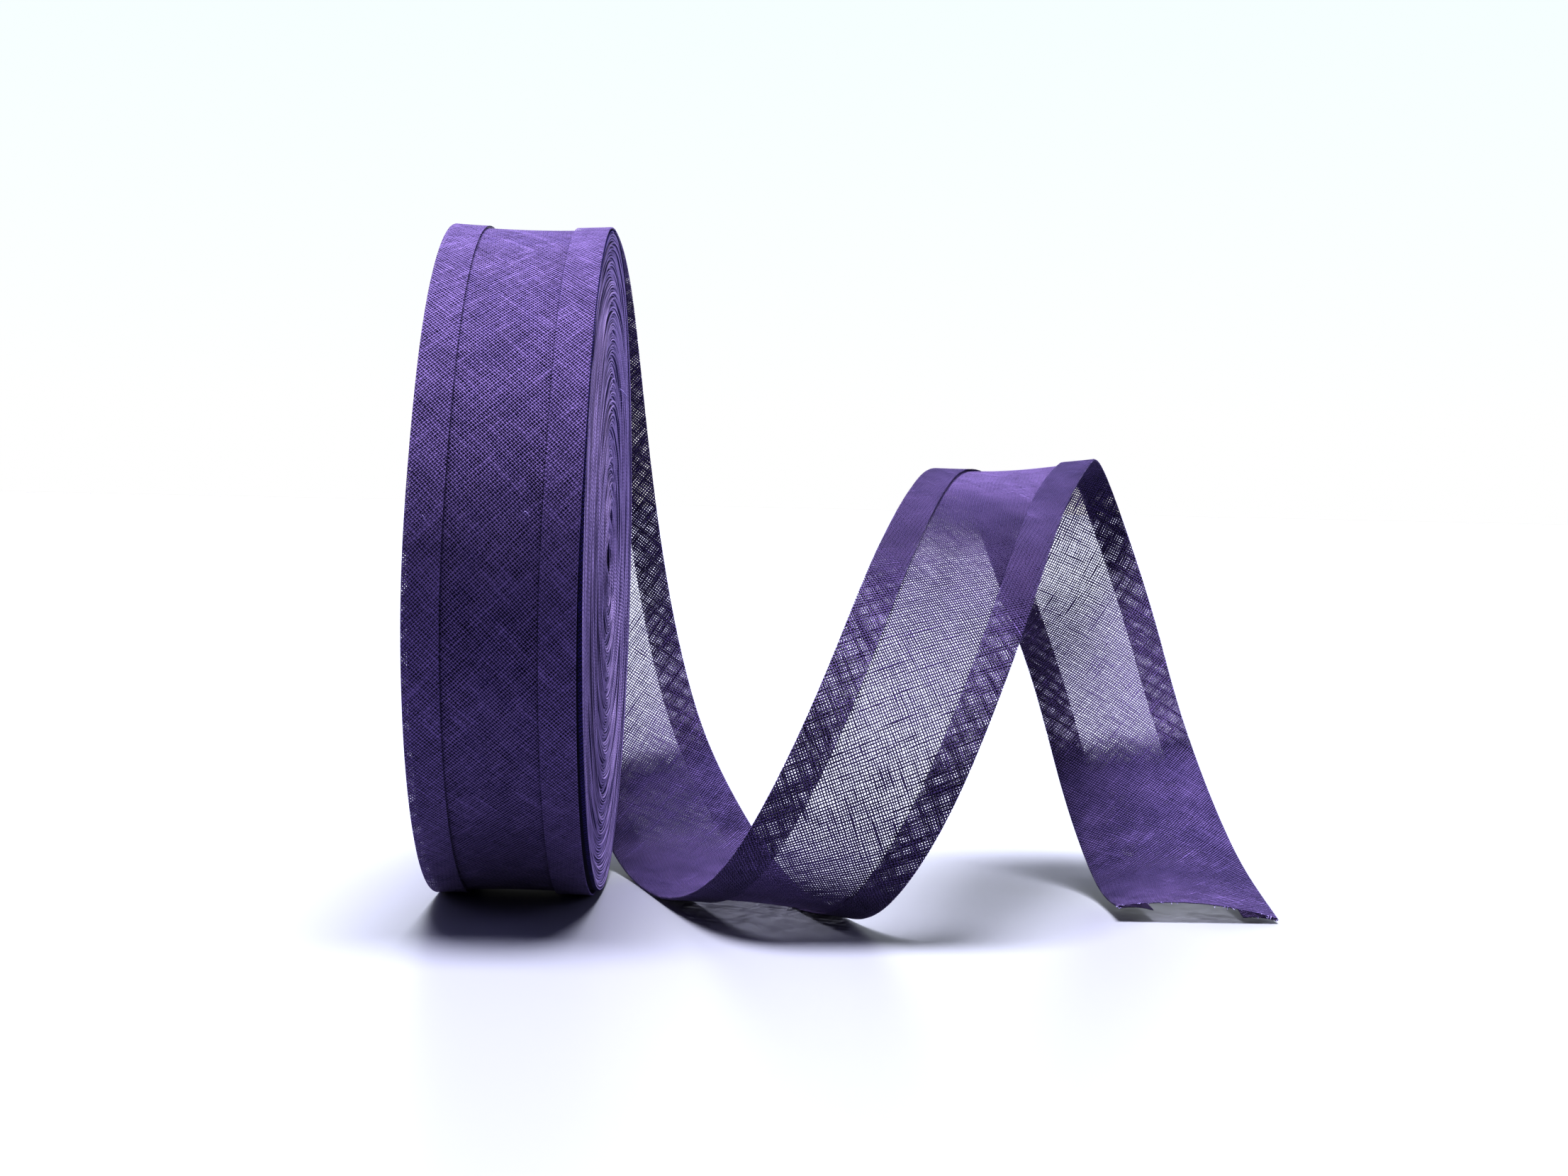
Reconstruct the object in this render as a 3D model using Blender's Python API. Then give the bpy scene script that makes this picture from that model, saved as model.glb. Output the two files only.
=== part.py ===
"""Bias binding: a cloth tape with both edges folded in, wound into a roll.

The roll stands on its rim, with its axis along X and its flat spot at the
origin. The tape leaves the roll at the top, winds down behind it, touches the
surface, rises in front, turns over a narrow peak and falls back to its cut end.
Sizes are in millimetres here and are scaled to metres where meshes are made.
"""

import math
from typing import NamedTuple

import bmesh
import bpy
import numpy as np

MM = 0.001

# Tape: the folded width, the width of each folded-in edge, and cloth heights.
TAPE_WIDTH = 25.0
FLAP_WIDTH = 5.3
HALF_WIDTH = TAPE_WIDTH / 2
FLAP_INNER = HALF_WIDTH - FLAP_WIDTH
FLAP_STEP = 0.35
FLAP_BEVEL = 0.25
SHEET_THICKNESS = 1.0

# Roll: the wound body, its centre hole, and the flat spot that it stands on.
ROLL_RADIUS = 53.8
HOLE_RADIUS = 3.2
FLAT_DEPTH = 0.3
AXIS_HEIGHT = ROLL_RADIUS - FLAT_DEPTH
ROLL_STEPS = 60
OUTER_TURN_HEIGHT = 0.6
FLAT_HALF_ANGLE = 9.0

# The loose end is swept in short steps along its length.
SWEEP_STEP = 4.0


class Ring(NamedTuple):
    """A group of turns on the side faces: where it ends and how far it stands out."""

    outer_radius: float
    proud: float


class Slip(NamedTuple):
    """How far the outermost turn lies left of the body, by angle from the top."""

    angle: float
    left: float


class Section(NamedTuple):
    """One section across the loose end: its middle, its width line and its arch.

    turn swings the width line about Z, tilt raises its +X end, and crown lifts
    the middle of the cloth above the chord between its edges, to the inner side.
    """

    x: float
    y: float
    z: float
    turn: float
    tilt: float
    crown: float


RINGS = (
    Ring(9.5, -0.55),
    Ring(18.0, 0.10),
    Ring(27.5, -0.25),
    Ring(36.0, 0.20),
    Ring(45.5, -0.15),
    Ring(ROLL_RADIUS - OUTER_TURN_HEIGHT, 0.0),
)

SLIPS = (
    Slip(0.0, 0.15),
    Slip(60.0, 0.15),
    Slip(180.0, 1.30),
    Slip(215.0, 1.20),
    Slip(250.0, 1.00),
    Slip(270.0, 0.75),
    Slip(280.0, 0.40),
    Slip(295.0, 0.15),
    Slip(360.0, 0.15),
)

LOOSE_END = (
    # Leaving the top of the roll and winding down behind it.
    Section(0.1, 17.8, 105.5, 0, 0, 0.0),
    Section(0.5, 36.9, 96.9, 1, 6, 0.0),
    Section(2.3, 52.6, 76.2, 6, 8, 0.0),
    Section(6.8, 57.5, 46.6, 16, 10, 0.0),
    Section(13.7, 49.2, 22.5, 21, 7, 0.0),
    Section(21.9, 32.3, 7.5, 18, 9, 0.0),
    # Along the surface, where the tape turns toward the front.
    Section(31.6, 1.9, 1.0, 16, 2, 0.0),
    Section(38.9, -23.3, 2.3, 16, -8, 0.0),
    # Rising in front.
    Section(45.4, -39.2, 8.0, 17, -19, 0.0),
    Section(53.5, -46.0, 22.6, 9, -25, 0.0),
    Section(62.3, -38.0, 43.2, 1, -23, 0.0),
    # Over the peak.
    Section(69.0, -17.4, 57.7, -9, -12, 0.0),
    Section(75.3, 9.1, 67.1, -11, -6, 0.0),
    Section(80.8, 32.1, 70.0, -14, 5, 0.0),
    Section(85.6, 48.6, 66.7, -13, 16, 0.0),
    # Falling behind and forward again to the cut end.
    Section(90.5, 53.1, 55.8, -4, 20, 0.3),
    Section(96.6, 39.3, 35.0, 11, 6, 0.7),
    Section(102.1, 18.4, 12.9, 8, 4, 1.0),
    Section(104.4, 6.5, 5.4, 8, 5, 1.2),
    Section(106.2, -19.0, 0.7, -2, -1, 1.5),
)


def smooth_curve(knots: np.ndarray, rows: np.ndarray, wanted: np.ndarray) -> np.ndarray:
    """Read a natural cubic spline through the rows at the wanted places.

    Args:
        knots: Place of each row along the curve, rising.
        rows: One row of values for each knot.
        wanted: Places to read.

    Returns:
        One row of values for each wanted place.
    """
    count = len(knots)
    gaps = np.diff(knots)
    slopes = np.diff(rows, axis=0) / gaps[:, None]
    system = np.eye(count)
    right = np.zeros_like(rows)
    for i in range(1, count - 1):
        system[i, i - 1:i + 2] = gaps[i - 1], 2 * (gaps[i - 1] + gaps[i]), gaps[i]
        right[i] = 6 * (slopes[i] - slopes[i - 1])
    bends = np.linalg.solve(system, right)
    spans = np.clip(np.searchsorted(knots, wanted) - 1, 0, count - 2)
    gap = gaps[spans][:, None]
    after = (wanted - knots[spans])[:, None]
    before = gap - after
    return (
        (bends[spans] * before**3 + bends[spans + 1] * after**3) / (6 * gap)
        + (rows[spans] / gap - bends[spans] * gap / 6) * before
        + (rows[spans + 1] / gap - bends[spans + 1] * gap / 6) * after
    )


class Ribbon(NamedTuple):
    """The loose end's swept sections: middles, width lines, inner normals, crowns."""

    middle: np.ndarray
    across: np.ndarray
    inward: np.ndarray
    crown: np.ndarray
    along: np.ndarray

    def point(self, i: int, side: float, height: float) -> np.ndarray:
        """Place a point of section i.

        Args:
            i: Section number.
            side: Distance from the middle toward the width line's +X end.
            height: Distance from the cloth's middle layer to its inner side.

        Returns:
            The point, never lower than the surface.
        """
        arch = self.crown[i] * (1 - (side / HALF_WIDTH) ** 2)
        place = self.middle[i] + side * self.across[i] + (arch + height) * self.inward[i]
        place[2] = max(place[2], 0.0)
        return place


def sweep_ribbon(step: float = SWEEP_STEP) -> Ribbon:
    """Sweep the loose end's table into evenly spaced sections.

    Args:
        step: Distance between sections.

    Returns:
        The swept ribbon.
    """
    rows = np.array(LOOSE_END, dtype=float)
    chords = np.linalg.norm(np.diff(rows[:, :3], axis=0), axis=1)
    knots = np.concatenate([[0.0], np.cumsum(chords)])
    count = round(knots[-1] / step) + 1
    along = np.linspace(0.0, knots[-1], count)
    values = smooth_curve(knots, rows, along)
    middle = values[:, :3]
    forward = np.gradient(middle, along, axis=0)
    forward /= np.linalg.norm(forward, axis=1)[:, None]
    turn = np.radians(values[:, 3])
    tilt = np.radians(values[:, 4])
    across = np.stack([np.cos(tilt) * np.cos(turn), np.cos(tilt) * np.sin(turn), np.sin(tilt)], 1)
    across -= (across * forward).sum(1)[:, None] * forward
    across /= np.linalg.norm(across, axis=1)[:, None]
    inward = np.cross(forward, across)
    return Ribbon(middle, across, inward, values[:, 5], along)


def loose_end_profile() -> list[tuple[float, float]]:
    """Draw the tape's cross-section, round its outline.

    Returns:
        (side, height) points: the plain inner side, then the outer side with
        its two raised flaps.
    """
    half = SHEET_THICKNESS / 2
    outer = -half - FLAP_STEP
    middle_third = FLAP_INNER / 2
    inner_side = [(side, half) for side in (HALF_WIDTH, FLAP_INNER, 0.0, -FLAP_INNER, -HALF_WIDTH)]
    left_flap = [(-HALF_WIDTH, outer), (-FLAP_INNER, outer), (-FLAP_INNER + FLAP_BEVEL, -half)]
    centre = [(-middle_third, -half), (middle_third, -half)]
    right_flap = [(-side, height) for side, height in reversed(left_flap)]
    return inner_side + left_flap + centre + right_flap


def slip_at(angle: float) -> float:
    """Return how far left the outermost turn lies at an angle from the top."""
    rows = np.array(SLIPS)
    return float(np.interp(angle, rows[:, 0], rows[:, 1]))


def face_profile() -> list[tuple[float, float]]:
    """Draw the right side face from the centre hole to the rim.

    Returns:
        (x, radius) points, two for each group of turns.
    """
    points = []
    inner = HOLE_RADIUS
    for ring in RINGS:
        x = HALF_WIDTH + ring.proud
        points += [(x, inner), (x, ring.outer_radius)]
        inner = ring.outer_radius + 2 * FLAP_BEVEL
    return points


def roll_profile(angle: float) -> list[tuple[float, float]]:
    """Draw the roll's half section at one angle, as a closed outline.

    Args:
        angle: Degrees from the top, toward the back.

    Returns:
        (x, radius) points from the hole over the right face, rim and left face.
    """
    right = face_profile()
    left = [(-x, radius) for x, radius in reversed(right)]
    on_flat = abs(angle - 180.0) < FLAT_HALF_ANGLE
    dish = 0.0 if on_flat else FLAP_STEP
    middle = ROLL_RADIUS - dish
    shift = slip_at(angle)
    rim_right = [
        (HALF_WIDTH, ROLL_RADIUS - OUTER_TURN_HEIGHT),
        (HALF_WIDTH, ROLL_RADIUS),
        (FLAP_INNER, ROLL_RADIUS),
        (FLAP_INNER - FLAP_BEVEL, middle),
    ]
    rim_left = [(-x, radius) for x, radius in reversed(rim_right)]
    rim = [(x - shift, radius) for x, radius in rim_right + [(0.0, middle)] + rim_left]
    return right + rim + left


def mesh_object(name: str, rings: list[list[np.ndarray]], closed: bool) -> bpy.types.Object:
    """Skin rings of points into one closed body.

    Args:
        name: Name of the object.
        rings: Equal rings of points in millimetres.
        closed: True where the last ring meets the first, False for flat caps.

    Returns:
        The new object, its faces pointing out.
    """
    mesh = bpy.data.meshes.new(name)
    work = bmesh.new()
    verts = [[work.verts.new([c * MM for c in point]) for point in ring] for ring in rings]
    size = len(verts[0])
    pairs = list(zip(verts, verts[1:]))
    if closed:
        pairs.append((verts[-1], verts[0]))
    for ring, following in pairs:
        for j in range(size):
            k = (j + 1) % size
            work.faces.new((ring[j], ring[k], following[k], following[j]))
    if not closed:
        work.faces.new(verts[0])
        work.faces.new(reversed(verts[-1]))
    bmesh.ops.recalc_face_normals(work, faces=work.faces)
    bmesh.ops.triangulate(work, faces=work.faces)
    work.to_mesh(mesh)
    work.free()
    made = bpy.data.objects.new(name, mesh)
    bpy.context.scene.collection.objects.link(made)
    return made


def make_roll() -> bpy.types.Object:
    """Build the wound roll, turned about X, with its flat spot on the surface."""
    rings = []
    for i in range(ROLL_STEPS):
        degrees = 360.0 * i / ROLL_STEPS
        angle = math.radians(degrees)
        ring = []
        for x, radius in roll_profile(degrees):
            height = AXIS_HEIGHT + radius * math.cos(angle)
            ring.append(np.array([x, radius * math.sin(angle), max(height, 0.0)]))
        rings.append(ring)
    return mesh_object("wound_roll", rings, closed=True)


def make_loose_end() -> bpy.types.Object:
    """Build the loose end of the tape, swept along its table of sections."""
    ribbon = sweep_ribbon()
    profile = loose_end_profile()
    rings = [
        [ribbon.point(i, side, height) for side, height in profile]
        for i in range(len(ribbon.along))
    ]
    return mesh_object("loose_end", rings, closed=False)


def cloth_material(name: str, colour: tuple[float, float, float]) -> bpy.types.Material:
    """Make a matt dyed-cloth material of one linear colour."""
    material = bpy.data.materials.new(name)
    material.use_nodes = True
    shader = material.node_tree.nodes["Principled BSDF"]
    shader.inputs["Base Color"].default_value = (*colour, 1.0)
    shader.inputs["Roughness"].default_value = 0.85
    shader.inputs["Metallic"].default_value = 0.0
    return material


def main() -> None:
    """Clear the scene and build the roll and its loose end."""
    for old in list(bpy.data.objects):
        bpy.data.objects.remove(old, do_unlink=True)
    roll = make_roll()
    roll.data.materials.append(cloth_material("wound violet cloth", (0.070, 0.044, 0.165)))
    loose_end = make_loose_end()
    loose_end.data.materials.append(cloth_material("single violet cloth", (0.088, 0.056, 0.200)))


main()
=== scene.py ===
"""The looks of a roll of bias binding: sheer violet plain weave, folded and wound.

The tape is cut on the bias, its two edges are folded in, and it is wound into a
roll that stands on its rim. The outermost turn and the loose end are one thin
sheet with real folded layers, so light passes through the open weave, and the
wound turns show their folded edges on the roll's side faces.
"""

from __future__ import annotations

import logging
import math
from dataclasses import dataclass, field
from enum import Enum
from typing import Callable, NamedTuple

import bpy
import numpy as np
from mathutils import Matrix, Vector

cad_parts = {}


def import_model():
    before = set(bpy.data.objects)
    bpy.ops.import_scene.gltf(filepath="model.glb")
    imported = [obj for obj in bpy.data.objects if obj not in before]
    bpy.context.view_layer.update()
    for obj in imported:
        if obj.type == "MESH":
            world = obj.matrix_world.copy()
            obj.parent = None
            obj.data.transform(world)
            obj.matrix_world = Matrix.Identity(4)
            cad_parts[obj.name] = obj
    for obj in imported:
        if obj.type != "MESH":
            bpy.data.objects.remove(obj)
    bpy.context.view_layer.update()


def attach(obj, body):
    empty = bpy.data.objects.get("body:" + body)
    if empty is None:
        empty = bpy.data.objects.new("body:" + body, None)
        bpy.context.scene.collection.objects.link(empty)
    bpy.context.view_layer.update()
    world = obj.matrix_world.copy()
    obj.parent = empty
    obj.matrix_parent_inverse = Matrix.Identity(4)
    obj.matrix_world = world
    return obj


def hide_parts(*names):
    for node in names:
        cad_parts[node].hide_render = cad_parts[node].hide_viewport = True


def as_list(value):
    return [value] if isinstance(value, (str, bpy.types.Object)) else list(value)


log = logging.getLogger("bias_binding")

COTTON_IOR = 1.53
FUZZ_TONE = "#D2C4F6"
PLAIN_NOISE = {"Scale": 1.0, "Detail": 0.0, "Roughness": 0.5}

MM = 0.001
ROOT_BODY = "root"
ROLL_NODE = "wound_roll"
LOOSE_NODE = "loose_end"


class Face(Enum):
    """The two side faces of the roll, by the way that they face along X."""

    RIGHT = 1
    LEFT = -1


class Section(NamedTuple):
    """One section across the tape's path: its middle, its width line and its arch.

    turn swings the width line about Z, tilt raises its +X end, and crown lifts
    the middle of the cloth above the chord between its edges, to the inner side.
    """

    x: float
    y: float
    z: float
    turn: float
    tilt: float
    crown: float


class FoldPoint(NamedTuple):
    """One point of a folded edge: its share of the turn and its depth, 0 at the crown."""

    share: float
    depth: float


class Slip(NamedTuple):
    """How far the outermost turn lies left of the body, by angle from the top."""

    angle: float
    left: float


class Fibre(NamedTuple):
    """One stray fibre that lies on the roll, in millimetres.

    root and tip are its ends, and bulge is how far its middle stands off the
    straight line between them.
    """

    root: tuple[float, float, float]
    tip: tuple[float, float, float]
    bulge: tuple[float, float, float]
    thickness: float


class Pressing(NamedTuple):
    """How closely the weave is pressed, by place on the loose end.

    section counts the rows of LOOSE_SECTIONS from 0, with fractions, and tight
    is above 0 where the threads lie close and below 0 where they part. doubled
    is added to tight where a flap makes the cloth double. tight also sets painted
    light and shade on the thread shoulders.
    """

    section: float
    tight: float
    doubled: float


LOOSE_SECTIONS = (
    # Winding down behind the roll.
    Section(0.5, 36.9, 96.9, 1, 6, 0.1),
    Section(2.3, 52.6, 76.2, 6, 8, 0.0),
    Section(6.8, 57.5, 46.6, 16, 10, 0.0),
    Section(13.7, 49.2, 22.5, 21, 7, 0.0),
    Section(21.9, 32.3, 7.5, 18, 9, 0.0),
    # Along the surface, where the tape turns toward the front.
    Section(31.6, 1.9, 0.7, 16, 1, 0.0),
    Section(38.9, -23.3, 2.1, 16, -8, 0.0),
    # Rising in front.
    Section(45.4, -39.2, 8.0, 17, -19, 0.0),
    Section(53.5, -46.0, 22.6, 9, -25, 0.0),
    Section(62.3, -38.0, 43.2, 1, -23, 0.0),
    # Over the peak.
    Section(69.0, -17.4, 57.7, -9, -12, 0.0),
    Section(75.3, 9.1, 67.1, -11, -6, 0.0),
    Section(80.8, 32.1, 70.0, -14, 5, 0.0),
    Section(85.6, 48.6, 66.7, -13, 16, 0.0),
    # Falling behind and forward again to the cut end.
    Section(90.5, 53.1, 55.8, -4, 20, 0.3),
    Section(96.6, 39.3, 35.0, 11, 6, 0.7),
    Section(102.1, 18.4, 12.9, 8, 4, 1.0),
    Section(104.4, 6.5, 5.4, 8, 5, 1.2),
    Section(106.2, -19.0, 1.5, -2, -4, 1.4),
)

PRESSINGS = (
    # Over the wound turns.
    Pressing(-1.0, 0.5, 0.25),
    Pressing(0.0, 0.0, 0.4),
    # Down behind the roll, and closed where it reaches the surface.
    Pressing(1.0, -1.1, 1.05),
    Pressing(2.0, -1.0, 1.0),
    Pressing(3.0, -0.5, 0.7),
    Pressing(3.2, -0.1, 0.5),
    Pressing(3.5, 2.2, 0.25),
    Pressing(4.3, 0.3, 0.25),
    Pressing(6.5, 0.3, 0.25),
    # Up in front and over the peak.
    Pressing(7.0, 0.1, 0.25),
    Pressing(8.0, -0.3, 0.25),
    Pressing(9.0, -0.65, 0.25),
    Pressing(9.8, -1.0, 0.25),
    Pressing(10.35, -0.3, 0.25),
    Pressing(11.0, 0.4, 0.3),
    Pressing(13.0, 0.35, 0.95),
    # Down again, and closed near the cut end.
    Pressing(14.0, -0.6, 0.85),
    Pressing(15.45, -0.6, 0.45),
    Pressing(15.75, 2.8, 0.25),
    Pressing(16.6, 2.0, 0.25),
    Pressing(17.3, 0.8, 0.25),
    Pressing(18.0, 0.0, 0.25),
)

FIBRES_ON_ROLL = (
    # On the right side face, near its top.
    Fibre((12.6, 12.0, 81.9), (12.7, 13.0, 79.7), (1.1, 0.4, -0.2), 0.20),
    # On the front of the rim.
    Fibre((-10.6, -52.9, 61.2), (-9.9, -53.4, 60.4), (0.1, -0.35, 0.1), 0.10),
    Fibre((4.0, -52.8, 61.9), (4.7, -53.3, 61.2), (0.1, -0.30, 0.2), 0.10),
)

FOLD_SHAPE = (
    FoldPoint(0.0, -1.0),
    FoldPoint(0.22, -0.12),
    FoldPoint(0.5, 0.0),
    FoldPoint(0.78, -0.12),
)

SLIPS = (
    Slip(0.0, 0.15),
    Slip(60.0, 0.15),
    Slip(180.0, 1.15),
    Slip(215.0, 1.05),
    Slip(250.0, 0.85),
    Slip(270.0, 0.65),
    Slip(280.0, 0.40),
    Slip(295.0, 0.15),
    Slip(360.0, 0.15),
)


@dataclass(frozen=True)
class Tape:
    """Sizes of the folded tape, in millimetres.

    Attributes:
        width: Width after folding.
        flap: Width of each folded-in edge.
        fold_radius: Inner radius of the fold at each edge.
        warp_pitch: Distance from one warp thread to the next.
        weft_pitch: Distance from one weft thread to the next.
        thread_width: Width of a thread where it isn't thick or thin.
        yarn_rise: Height of a thread's shoulder above the middle of the cloth.
    """

    width: float = 25.0
    flap: float = 5.3
    fold_radius: float = 0.16
    warp_pitch: float = 0.395
    weft_pitch: float = 0.467
    thread_width: float = 0.19
    yarn_rise: float = 0.075

    @property
    def half(self) -> float:
        """Half the folded width."""
        return self.width / 2

    @property
    def fold_start(self) -> float:
        """Distance from the middle at which the cloth begins to fold."""
        return self.half - self.fold_radius

    @property
    def flap_edge(self) -> float:
        """Distance from the middle to the line beside a flap's free edge, where a painted shadow lies.
        """
        return self.fold_start - self.flap - 0.08

    @property
    def flat_half(self) -> float:
        """Half the width of the cloth as it is cut."""
        return self.fold_start + math.pi * self.fold_radius + self.flap

    def folded(self, reach: float, lift: np.ndarray) -> tuple[float, np.ndarray]:
        """Find where a line of the cloth lies after folding.

        Args:
            reach: Distance from the middle, measured along the cloth.
            lift: How far the flap's free edge stands off the cloth under it.

        Returns:
            (side, height), with height negative on the outer side.
        """
        side = abs(reach)
        sign = math.copysign(1.0, reach)
        bend = math.pi * self.fold_radius
        if side <= self.fold_start:
            return reach, np.zeros_like(lift)
        if side <= self.fold_start + bend:
            angle = (side - self.fold_start) / self.fold_radius
            out = self.fold_start + self.fold_radius * math.sin(angle)
            return sign * out, np.full_like(lift, self.fold_radius * (math.cos(angle) - 1))
        back = side - self.fold_start - bend
        rise = lift * (back / self.flap) ** 2
        return sign * (self.fold_start - back), -2 * self.fold_radius - rise

    def reaches(self) -> list[float]:
        """List the places across the cut cloth at which the mesh has a row."""
        body = np.linspace(-self.fold_start, self.fold_start, 19)
        bend = np.linspace(0.0, math.pi * self.fold_radius, 4)[1:]
        flap = bend[-1] + np.linspace(0.0, self.flap, 5)[1:]
        right = np.concatenate([bend, flap]) + self.fold_start
        return [*(-right[::-1]), *body, *right]


@dataclass(frozen=True)
class Roll:
    """Sizes of the wound roll, in millimetres."""

    axis_height: float = 53.5
    outer_turn_radius: float = 53.42
    under_radius: float = 52.75
    hole_radius: float = 3.2
    half_width: float = 12.5
    turns: int = 112
    outer_dish: float = 0.45

    @property
    def pitch(self) -> float:
        """Distance from one turn to the next."""
        return (self.under_radius - self.hole_radius) / self.turns


@dataclass(frozen=True)
class Yarn:
    """How uneven the yarn is, with rates in patches of noise for each pitch of cloth.

    Attributes:
        tight_width: Share by which a thread is wider where tight is 1.
        drift: Sideways shift of neighbouring threads together, in pitches.
        drift_rates: Its rates across and along the threads.
        kink: Sideways shift of one thread, in pitches.
        kink_rate: Its rate along the thread.
        own_step: How far apart the patterns of neighbouring threads are read.
        least_width: A thread's least width against its full width.
        swell: How much wider than that it may be.
        swell_rate: The swell's rate along the thread.
        slub_rate: The rate of the rare thick places.
        slub_from: Noise value at which a slub begins.
        slub_full: Noise value at which it is full.
        slub_width: Greatest extra width of a slub.
        slub_seed: Sets the slubs' pattern apart from the swell's.
        roundness: Share of a thread's height that its round back gives.
    """

    tight_width: float = 0.45
    drift: float = 0.75
    drift_rates: tuple[float, float] = (0.3, 0.03)
    kink: float = 0.38
    kink_rate: float = 0.3
    own_step: float = 7.31
    least_width: float = 0.25
    swell: float = 1.5
    swell_rate: float = 0.09
    slub_rate: float = 0.05
    slub_from: float = 0.66
    slub_full: float = 0.80
    slub_width: float = 0.95
    slub_seed: float = 50.0
    roundness: float = 0.42


TAPE = Tape()
YARN = Yarn()
ROLL = Roll()


def linear_rgb(code: str) -> tuple[float, float, float, float]:
    """Turn an sRGB hex colour into the linear colour that shaders take.

    Args:
        code: Colour such as "#6A52A8".

    Returns:
        Linear red, green, blue and an alpha of 1.
    """
    parts = [int(code[i:i + 2], 16) / 255 for i in (1, 3, 5)]
    linear = [p / 12.92 if p <= 0.04045 else ((p + 0.055) / 1.055) ** 2.4 for p in parts]
    return (*linear, 1.0)


def smooth_curve(knots: np.ndarray, rows: np.ndarray, wanted: np.ndarray) -> np.ndarray:
    """Read a natural cubic spline through the rows at the wanted places.

    Args:
        knots: Place of each row along the curve, rising.
        rows: One row of values for each knot.
        wanted: Places to read.

    Returns:
        One row of values for each wanted place.
    """
    count = len(knots)
    gaps = np.diff(knots)
    slopes = np.diff(rows, axis=0) / gaps[:, None]
    system = np.eye(count)
    right = np.zeros_like(rows)
    for i in range(1, count - 1):
        system[i, i - 1:i + 2] = gaps[i - 1], 2 * (gaps[i - 1] + gaps[i]), gaps[i]
        right[i] = 6 * (slopes[i] - slopes[i - 1])
    bends = np.linalg.solve(system, right)
    spans = np.clip(np.searchsorted(knots, wanted) - 1, 0, count - 2)
    gap = gaps[spans][:, None]
    after = (wanted - knots[spans])[:, None]
    before = gap - after
    return (
        (bends[spans] * before**3 + bends[spans + 1] * after**3) / (6 * gap)
        + (rows[spans] / gap - bends[spans] * gap / 6) * before
        + (rows[spans + 1] / gap - bends[spans + 1] * gap / 6) * after
    )


def grid_quads(rows: int, columns: int) -> np.ndarray:
    """List the corners of every quad in a grid of points.

    Args:
        rows: Number of rows of points.
        columns: Number of points in a row.

    Returns:
        One row of four point numbers for each quad.
    """
    index = np.arange(rows * columns).reshape(rows, columns)
    corners = [index[:-1, :-1], index[:-1, 1:], index[1:, 1:], index[1:, :-1]]
    return np.stack([c.ravel() for c in corners], axis=1)


def grid_mesh(name: str, points: np.ndarray, uvs: np.ndarray, flip: bool,
              traits: dict[str, np.ndarray] | None = None) -> bpy.types.Object:
    """Make a smooth-shaded mesh object from a grid of points.

    Args:
        name: Name of the object and its mesh.
        points: Array of shape (rows, columns, 3), in millimetres.
        uvs: Array of shape (rows, columns, 2), in metres.
        flip: True to turn the faces round.
        traits: Numbers that the material reads, by name, with one for each point.

    Returns:
        The new object, linked to the scene.
    """
    rows, columns = points.shape[:2]
    quads = grid_quads(rows, columns)
    if flip:
        quads = quads[:, ::-1].copy()
    mesh = bpy.data.meshes.new(name)
    mesh.vertices.add(rows * columns)
    mesh.vertices.foreach_set("co", (points * MM).ravel())
    mesh.loops.add(quads.size)
    mesh.loops.foreach_set("vertex_index", quads.ravel())
    mesh.polygons.add(len(quads))
    mesh.polygons.foreach_set("loop_start", np.arange(len(quads)) * 4)
    mesh.polygons.foreach_set("use_smooth", np.ones(len(quads), dtype=bool))
    layer = mesh.uv_layers.new(name="ClothMetres")
    layer.data.foreach_set("uv", uvs.reshape(-1, 2)[quads.ravel()].ravel())
    for trait, values in (traits or {}).items():
        mesh.attributes.new(trait, "FLOAT", "POINT").data.foreach_set("value", values.ravel())
    mesh.update(calc_edges=True)
    mesh.validate()
    made = bpy.data.objects.new(name, mesh)
    bpy.context.scene.collection.objects.link(made)
    return made


Feed = bpy.types.NodeSocket | float | tuple[float, ...]
Setting = str | bool | int | float
Adder = Callable[..., bpy.types.NodeSocket]


class NodeSheet:
    """Adds nodes to one material or world, with their settings and links."""

    def __init__(self, owner: bpy.types.ID) -> None:
        """Start on an empty node tree.

        Args:
            owner: The material or world that the nodes belong to.
        """
        owner.use_nodes = True
        self.tree = owner.node_tree
        self.tree.nodes.clear()

    def add(self, kind: str, *ordered: Feed, links: dict[str, Feed] | None = None,
            **settings: Setting) -> bpy.types.NodeSocket | None:
        """Add one node, with its settings and then its links.

        Args:
            kind: Blender's name for the node type, after "ShaderNode".
            ordered: What its first inputs take, in order.
            links: What its other inputs take, by name.
            settings: Properties of the node itself.

        Returns:
            The node's first output in use, if it has one.
        """
        node = self.tree.nodes.new("ShaderNode" + kind)
        for name, value in settings.items():
            setattr(node, name, value)
        for name, value in (*enumerate(ordered), *(links or {}).items()):
            socket = node.inputs[name]
            if isinstance(value, bpy.types.NodeSocket):
                self.tree.links.new(value, socket)
            else:
                socket.default_value = value
        return next((out for out in node.outputs if out.enabled), None)


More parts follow.
